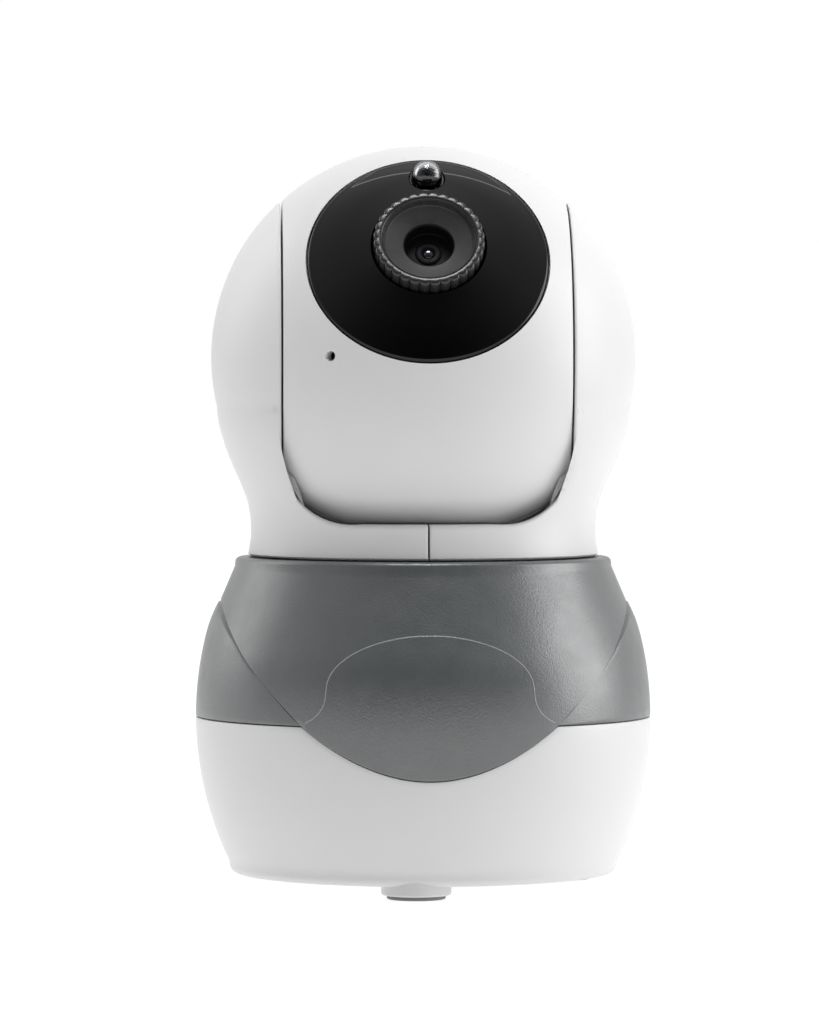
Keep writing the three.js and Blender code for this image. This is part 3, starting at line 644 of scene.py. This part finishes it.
def yoke_section(x, z, wall_normal, side, back, share, inset):
    """One closed section of a yoke half: up the outside, round the edge, and down the inside."""
    y = math.sqrt(max(yoke_radius(z) ** 2 - x ** 2, 0.0))
    edge = np.array([x, -y, z])
    out = yoke_normal(edge)
    wall = np.array(wall_normal, dtype=float)
    along_out = -(wall - np.dot(wall, out) * out)
    along_out /= np.linalg.norm(along_out)
    along_wall = -(out - np.dot(out, wall) * wall)
    along_wall /= np.linalg.norm(along_wall)
    reach = 0.85
    start, end = edge + reach * along_out, edge + reach * along_wall
    depth = reach + 0.7
    centre = np.array([0, 0, TILT_Z])
    while depth < 8 and np.linalg.norm(edge + depth * along_wall - centre) > BALL_R + 0.5:
        depth += 0.1
    if x > CHEEK_X - 0.5:
        depth = YOKE_WALL
    inner = edge + depth * along_wall
    top_azimuth = math.atan2(start[0], -start[1])
    rows = 44
    outer = []
    for v in np.linspace(0, 1, rows):
        azimuth = share * (1 - v) + top_azimuth * v
        height = (SKIRT_Z + FOOT_CHAMFER) * (1 - v) + start[2] * v
        r = yoke_radius(height)
        outer.append(np.array([r * math.sin(azimuth), -r * math.cos(azimuth), height]))
    foot_way = np.array([math.sin(share), -math.cos(share), 0])
    foot = (YOKE_FOOT_R - FOOT_CHAMFER) * foot_way + (0, 0, SKIRT_Z)
    inner_foot = (YOKE_FOOT_R - YOKE_WALL) * foot_way + (0, 0, SKIRT_Z)
    fillet = [(1 - t) ** 2 * start + 2 * t * (1 - t) * edge + t ** 2 * end for t in np.linspace(0, 1, 7)[1:]]
    base_shift = inner_foot - outer[0]
    top_shift = inner - outer[-1]
    inside = [outer[i] + base_shift * (1 - i / (rows - 1)) + top_shift * i / (rows - 1)
              for i in (43, 38, 33, 28, 23, 18, 13, 8, 4)]
    if inset:
        outer = [p - inset * yoke_normal(p) for p in outer]
        fillet = [p - inset * out - inset * wall for p in fillet]
    points = [foot] + outer + fillet + inside + [inner_foot]
    flip = np.array([side, -1 if back else 1, 1])
    return [tuple(p * flip) for p in points]


def ball_room():
    """A closed tool a little larger than the ball, for the room that it turns in."""
    reach, flat = BALL_R + 0.25, CHEEK_X - 0.05
    edge = math.asin(flat / reach)
    profile = [(0, -flat)]
    profile += [(reach * math.cos(t), reach * math.sin(t)) for t in np.linspace(-edge, edge, 60)]
    about_x = Matrix.Translation((0, 0, TILT_Z)) @ Matrix.Rotation(math.radians(90), 4, "Y")
    return tool(turned(profile + [(0, flat)], 160), about_x)


def yoke_shell(side, name, node):
    """One half of the yoke, lofted from section to section along the slot's edge, front then back."""
    edge = slot_edge()
    lengths = [0.0]
    for (a, _), (b, _) in zip(edge, edge[1:]):
        lengths.append(lengths[-1] + math.hypot(b[0] - a[0], b[1] - a[1]))
    sections = []
    corner = 14  # how many points the slot's straight floor has
    for i, ((x, z), normal) in enumerate(edge):
        if i < corner:
            share = math.asin(x / YOKE_FOOT_R)
        else:
            start = math.asin(edge[corner - 1][0][0] / YOKE_FOOT_R)
            part = (lengths[i] - lengths[corner - 1]) / (lengths[-1] - lengths[corner - 1])
            share = start + (math.pi / 2 - start) * part
        inset = (0.22, 0.07)[i] if i < 2 else 0.0
        sections.append((x, z, normal, share, inset))
    front = [yoke_section(x, z, n, side, False, share, inset) for x, z, n, share, inset in sections]
    back = [yoke_section(x, z, n, side, True, share, inset) for x, z, n, share, inset in sections[:-1]]
    verts, faces = loft(front + back[::-1])
    obj = make_object(name, verts, faces, sharp=50)
    carve(obj, [ball_room()], sharp=50)
    finish_piece(obj, WHITE, "yoke", "white_plastic", node)


# ------------------------------------------------------------------ ball, in the head's own frame

def ball_loop(inset):
    """Outer then inner profile of the ball's wall as (radius from the tilt axis, x)."""
    edge = math.degrees(math.acos(FLAT_X / BALL_R))
    corner_r = BALL_R * math.sin(math.radians(edge))
    outline = [(5.6, -FLAT_X), (corner_r, -FLAT_X)]
    outline += [(BALL_R * math.cos(t), BALL_R * math.sin(t))
                for t in np.radians(np.linspace(-(90 - edge) + 1.6, (90 - edge) - 1.6, 90))]
    outline += [(corner_r, FLAT_X), (5.6, FLAT_X)]
    outer = rounded(outline, [0, 1.5] + [0] * 90 + [1.5, 0], 6, keep_ends=True)
    if inset:
        outer = [(r * (1 - inset / 37), x * (1 - inset / 37)) for r, x in outer]
    inner_flat, inner_r = FLAT_X - 2, BALL_R - 2
    limit = math.degrees(math.asin(inner_flat / inner_r))
    inner = arc((0, 0), inner_r, limit, -limit, 23)
    return outer + [(5.6, inner_flat)] + inner + [(5.6, -inner_flat)]


def ball_half(front):
    """Half of the ball's wall, turned about the tilt axis and drawn in a little along its seam."""
    angles = [0, 0.12, 0.4] + list(np.linspace(1.5, 178.5, 119)) + [179.6, 179.88, 180]
    insets = {0: 0.2, 0.12: 0.07, 179.88: 0.07, 180: 0.2}
    sections = []
    for angle in angles:
        a = math.radians(angle if front else angle + 180)
        shift = (SPLIT if front else -SPLIT) * max(0.0, 1 - min(angle, 180 - angle) / 12)
        sections.append([(x, r * math.cos(a), r * math.sin(a) + shift)
                         for r, x in ball_loop(insets.get(angle, 0.0))])
    return loft(sections)


def ball_front():
    obj = make_object("ball_front", *ball_half(True), HEAD, sharp=50)
    window = [(0, 22), (19.0, 22), (19.0, 28.6), (21.0, 28.6), (21.0, 30.2), (21.05, 30.55), (21.35, 30.95),
              (23.5, 33.0), (23.5, 45), (0, 45)]
    cutters = [tool(turned(window, 160), HEAD)]
    mic_low, mic_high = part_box("microphone")
    mic = (Vector(mic_low) + Vector(mic_high)) / (2 * MM) - Vector((0, 0, TILT_Z))
    turn = Vector((0, 0, 1)).rotation_difference(mic).to_matrix().to_4x4()
    aim = Matrix.Translation((0, 0, TILT_Z)) @ turn
    hole = [(0, 30), (0.8, 30), (0.8, 36.6), (0.86, 36.85), (1.05, 37.1), (1.6, 38), (0, 38)]
    cutters.append(tool(turned(hole, 40), aim))
    carve(obj, cutters, sharp=50)
    finish_piece(obj, WHITE, "head", "white_plastic", "ball_front_shell")


def ball_rear():
    obj = make_object("ball_rear", *ball_half(False), HEAD, sharp=50)
    cutters = []
    for node in ("ball_screw_1", "ball_screw_2"):
        x, y = screw_place(node)
        bore = turned([(0, -45), (3.2, -45), (2.75, -26.0), (2.6, -25.0), (2.6, -12), (0, -12)], 48)
        cutters.append(tool(bore, HEAD @ Matrix.Translation((x, y, 0))))
    carve(obj, cutters, sharp=50)
    finish_piece(obj, WHITE, "head", "white_plastic", "ball_rear_shell")
    for i, node in enumerate(("ball_screw_1", "ball_screw_2"), start=1):
        x, y = screw_place(node)
        sections = []
        for t in np.radians(np.arange(0, 360, 7.5)):
            c, s = math.cos(t), math.sin(t)
            ends = [-math.sqrt((BALL_R - 1) ** 2 - (x + r * c) ** 2 - (y + r * s) ** 2) for r in (2.65, 3.6)]
            profile = [(2.65, ends[0]), (3.6, ends[1]), (3.6, -0.3), (1.5, -0.3), (1.5, -6.1), (2.65, -6.1)]
            sections.append([(x + r * c, y + r * s, z) for r, z in profile])
        boss = make_object(f"ball_screw_boss_{i}", *loft(sections, wrap=True), HEAD)
        finish_piece(boss, WHITE, "head", "white_plastic")


def screw_place(node):
    low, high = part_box(node)
    centre = HEAD.inverted() @ ((Vector(low) + Vector(high)) / (2 * MM))
    return centre.x, centre.y


def faceplate():
    rim = 30.93
    centre = rim - math.sqrt(PLATE_DOME_R ** 2 - PLATE_RIM_R ** 2)
    outer = [(20.6, 29.1), (20.8, 29.4), (20.8, 30.15), (20.77, 30.42), (20.68, 30.66), (20.54, 30.85),
             (20.34, 30.99), (20.16, 31.08)]
    dome = [(r, centre + math.sqrt(PLATE_DOME_R ** 2 - r ** 2) + 0.2 * max(0.0, (14.5 - r) / 4) ** 2)
            for r in np.linspace(19.95, 10.0, 32)]
    top = dome[-1][1]
    lip = [(BORE_R + 0.01, top - 0.04)]
    under = [(BORE_R, 33.2), (12.5, 32.4), (16, 31.0), (19, 29.7)]
    obj = make_object("smoked_faceplate", *turned(outer + dome + lip + under, 200), HEAD, sharp=50)
    place = HEAD @ Matrix.Translation((0, SENSOR_RADIUS, 0))
    hole = [(0, 28), (2.95, 28), (2.95, 32.2), (3.0, 32.6), (3.2, 33.1), (4.6, 35.5), (0, 35.5)]
    carve(obj, [tool(turned(hole, 64), place)], sharp=50)
    finish_piece(obj, SMOKED, "head", "smoked_plastic", "faceplate")


def light_sensor():
    place = HEAD @ Matrix.Translation((0, SENSOR_RADIUS, 0))
    base, radius, bore = 33.1, 2.6, 1.85
    profile = [(0, base + radius)] + arc((0, base), radius, 84, 0, 17) + [(radius, 29.0), (bore, 29.0)]
    profile += arc((0, base), bore, 0, 82, 13) + [(0, base + bore)]
    obj = make_object("sensor_dome", *turned(profile, 72), place)
    finish_piece(obj, CLEAR, "head", "clear_plastic", "light_sensor_dome")
    body = [(0, 28.2), (1.5, 28.2), (1.5, 32.9)] + arc((1.05, 33.0), 0.45, 0, 90, 5) + [(0, 33.5)]
    eye = make_object("sensor_eye", *turned(body, 48), place)
    finish_piece(eye, DEEP_BLACK_AND_PAINTED_SHADE, "head", "black_plastic", "light_sensor")
    cup = [(2.72, 28.5), (2.9, 28.5), (2.9, 32.1), (2.72, 32.1)]
    collar = make_object("sensor_collar", *turned(cup, 64), place)
    finish_piece(collar, MATT_BLACK, "head", "black_plastic")


# ------------------------------------------------------------------ focus ring and lens

def focus_ring():
    steps = KNURLS * 14
    flute_depth = 0.42
    sections = []
    for i in range(steps):
        t = 2 * math.pi * i / steps
        flute = flute_depth * (1 - abs(math.sin(t * KNURLS / 2)) ** 0.6)
        edge = RING_R - flute
        ring = [(8.1, 31.6), (RING_R - 0.35, 31.6), (edge, 32.0), (edge, 37.05), (edge - 0.07, 37.3),
                (edge - 0.2, 37.49), (edge - 0.38, RING_FRONT), (8.5, RING_FRONT), (8.25, 37.52),
                (8.1, 37.35)]
        sections.append([(r * math.cos(t), r * math.sin(t), z) for r, z in ring])
    obj = make_object("knurled_ring", *loft(sections, wrap=True), HEAD, sharp=40)
    finish_piece(obj, BLACK, "focus", "black_plastic", "focus_ring")


def lens_barrel():
    steps = [(8.05, 37.3)]
    for i in range(3):
        r = 8.0 - 0.16 * i
        steps += [(r, 37.34 - 0.3 * i), (r - 0.04, 37.38 - 0.3 * i), (r - 0.12, 37.34 - 0.3 * i),
                  (r - 0.14, 37.14 - 0.3 * i)]
    funnel = [(7.5, 36.45), (7.35, 36.32), (4.6, 35.5), (4.42, 35.4), (4.37, 35.2), (4.37, 33.6),
              (4.6, 33.3), (4.6, 22.0)]
    thread = []
    for i in range(18):
        z = 22.2 + 0.5 * i
        thread += [(6.0, z), (5.75, z + 0.25)]
    back = [(6.0, 31.4), (7.75, 31.5), (8.05, 31.8)]
    profile = steps + funnel + thread + back
    obj = make_object("lens_barrel_body", *turned(profile, 160), HEAD, sharp=35)
    finish_piece(obj, MATT_BLACK, "focus", "black_plastic", "lens_barrel")


def lens_well():
    """The well at the bottom of the funnel, with the small ring that holds the front lens; its near-black is
    partly the black moulding and partly painted shade of the deep recess.
    """
    ring = [(2.3, 32.55), (2.15, 32.7), (1.95, 32.82), (1.3, 32.82), (1.15, 32.74), (1.05, 32.6),
            (1.05, 32.2)]
    profile = [(4.34, 35.15), (4.2, 35.0), (4.2, 32.7), (4.05, 32.55)] + ring + [(4.34, 31.6)]
    obj = make_object("lens_well", *turned(profile, 128), HEAD, sharp=35)
    finish_piece(obj, DEEP_BLACK_AND_PAINTED_SHADE, "focus", "black_plastic")


def front_lens():
    dome = [(math.sin(t), 32.5 + 0.5 * math.cos(t)) for t in np.radians(np.linspace(12, 88, 9))]
    profile = [(0, 33.0)] + dome + [(1.0, 31.8), (4.2, 31.3), (4.2, 30.0), (3.4, 29.7), (0, 29.4)]
    obj = make_object("lens_element", *turned(profile, 96), HEAD)
    finish_piece(obj, GLASS, "focus", "lens_glass", "front_lens")


# ------------------------------------------------------------------ stage, light and camera, in metres

STUDIO_MIDDLE = (0, 0, 0.08)
CAMERA_DISTANCE = 1.077
CAMERA_HEIGHT = 0.0937
CAMERA_TURN = math.radians(1.9)  # towards the object's own right
CAMERA_AIM = (-0.0024, 0.0658)  # across the view and up
FOCAL_MM = 214.98
FILM_MM = 36.0

def area_light(name, place, aim, size, power, along=(0, 0, 1)):
    """A soft rectangular light aimed at a place; size is its width, then its length the way of `along`."""
    data = bpy.data.lights.new(name, "AREA")
    data.shape = "RECTANGLE"
    data.size, data.size_y = size
    data.energy = power
    obj = bpy.data.objects.new(name, data)
    back = (Vector(place) - Vector(aim)).normalized()
    across = Vector(along).cross(back).normalized()
    turn = Matrix((across, back.cross(across), back)).transposed()
    obj.matrix_world = Matrix.Translation(place) @ turn.to_4x4()
    bpy.context.scene.collection.objects.link(obj)
    return obj


def stage():
    mesh = bpy.data.meshes.new("floor")
    mesh.from_pydata([(-4, -4, 0), (4, -4, 0), (4, 4, 0), (-4, 4, 0)], [], [(0, 1, 2, 3)])
    floor = bpy.data.objects.new("floor", mesh)
    bpy.context.scene.collection.objects.link(floor)
    material = bpy.data.materials.new("floor_paper")
    material.use_nodes = True
    shader = material.node_tree.nodes["Principled BSDF"]
    shader.inputs["Base Color"].default_value = (0.3, 0.3, 0.3, 1)
    shader.inputs["Roughness"].default_value = 1.0
    shader.inputs["Specular IOR Level"].default_value = 0.0
    shader.inputs["Emission Color"].default_value = (1, 1, 1, 1)
    shader.inputs["Emission Strength"].default_value = 0.85
    mesh.materials.append(material)


def studio():
    """A white studio that is darker in front of the object, so that the glossy black parts stay black."""
    world = bpy.data.worlds.new("studio")
    world.use_nodes = True
    nodes, links = world.node_tree.nodes, world.node_tree.links
    background = nodes["Background"]
    place = nodes.new("ShaderNodeTexCoord")
    split = nodes.new("ShaderNodeSeparateXYZ")
    ramp = nodes.new("ShaderNodeValToRGB")
    spread = nodes.new("ShaderNodeMapRange")
    spread.inputs["From Min"].default_value = -1.0
    spread.inputs["From Max"].default_value = 1.0
    stops = ramp.color_ramp.elements
    greys = [(0.0, 0.02), (0.12, 0.15), (0.3, 0.42), (0.6, 0.6), (0.85, 0.92)]  # from the front to the back
    stops[0].position, stops[-1].position = greys[0][0], greys[-1][0]
    for position, _ in greys[1:-1]:
        stops.new(position)
    for stop, (_, grey) in zip(stops, greys):
        stop.color = (grey, grey, grey, 1)
    seen = nodes.new("ShaderNodeLightPath")
    mix = nodes.new("ShaderNodeMixShader")
    white = nodes.new("ShaderNodeBackground")
    output = nodes["World Output"]
    links.new(place.outputs["Generated"], split.inputs[0])
    links.new(split.outputs["Y"], spread.inputs["Value"])
    links.new(spread.outputs["Result"], ramp.inputs["Fac"])
    links.new(ramp.outputs["Color"], background.inputs["Color"])
    white.inputs["Color"].default_value = (1, 1, 1, 1)
    links.new(seen.outputs["Is Camera Ray"], mix.inputs["Fac"])
    links.new(background.outputs[0], mix.inputs[1])
    links.new(white.outputs[0], mix.inputs[2])
    links.new(mix.outputs[0], output.inputs["Surface"])
    bpy.context.scene.world = world
    bpy.context.scene.view_settings.view_transform = "Standard"


def studio_place(azimuth, elevation, distance):
    """A place seen from the object: azimuth from the front towards +X, elevation above the horizon."""
    a, e = math.radians(azimuth), math.radians(elevation)
    along, up = distance * math.cos(e), distance * math.sin(e)
    return (along * math.sin(a), -along * math.cos(a), STUDIO_MIDDLE[2] + up)


def lights():
    middle = STUDIO_MIDDLE
    disc = (0, -0.025, 0.115)
    area_light("right_box", studio_place(88, 14, 0.8), middle, (0.52, 0.6), 3.4)
    area_light("left_box", studio_place(-118, 22, 0.9), middle, (0.5, 0.6), 1.2)
    area_light("overhead_box", studio_place(0, 82, 0.95), middle, (0.34, 0.4), 6.1, along=(1, 0, 0))
    fill = area_light("right_fill", studio_place(42, 25, 1.1), middle, (0.5, 0.5), 0.7)
    fill.visible_glossy = False
    area_light("top_strip", (0, 0.4, 0.995), disc, (0.012, 1.3), 0.12, along=(1, 0, 0))


def camera():
    across = Vector((math.cos(CAMERA_TURN), -math.sin(CAMERA_TURN), 0))
    data = bpy.data.cameras.new("camera")
    data.sensor_fit = "VERTICAL"
    data.sensor_height = FILM_MM
    data.lens = FOCAL_MM
    data.clip_start, data.clip_end = 0.05, 20
    obj = bpy.data.objects.new("camera", data)
    place = Vector((-math.sin(CAMERA_TURN), -math.cos(CAMERA_TURN), 0)) * CAMERA_DISTANCE
    place.z = CAMERA_HEIGHT
    aim = across * CAMERA_AIM[0] + Vector((0, 0, CAMERA_AIM[1]))
    obj.location = place
    obj.rotation_euler = (aim - place).to_track_quat("-Z", "Y").to_euler()
    bpy.context.scene.collection.objects.link(obj)
    bpy.context.scene.camera = obj


# ------------------------------------------------------------------ build

camera()
stage()
studio()
lights()
dress_cad_nodes()
top_cover()
hairline()
lower_shell()
foot_pads()
pair_button()
switch_knob()
yoke_shell(1, "yoke_right", "yoke_right_shell")
yoke_shell(-1, "yoke_left", "yoke_left_shell")
ball_front()
ball_rear()
faceplate()
light_sensor()
focus_ring()
lens_barrel()
lens_well()
front_lens()

bpy.context.view_layer.update()
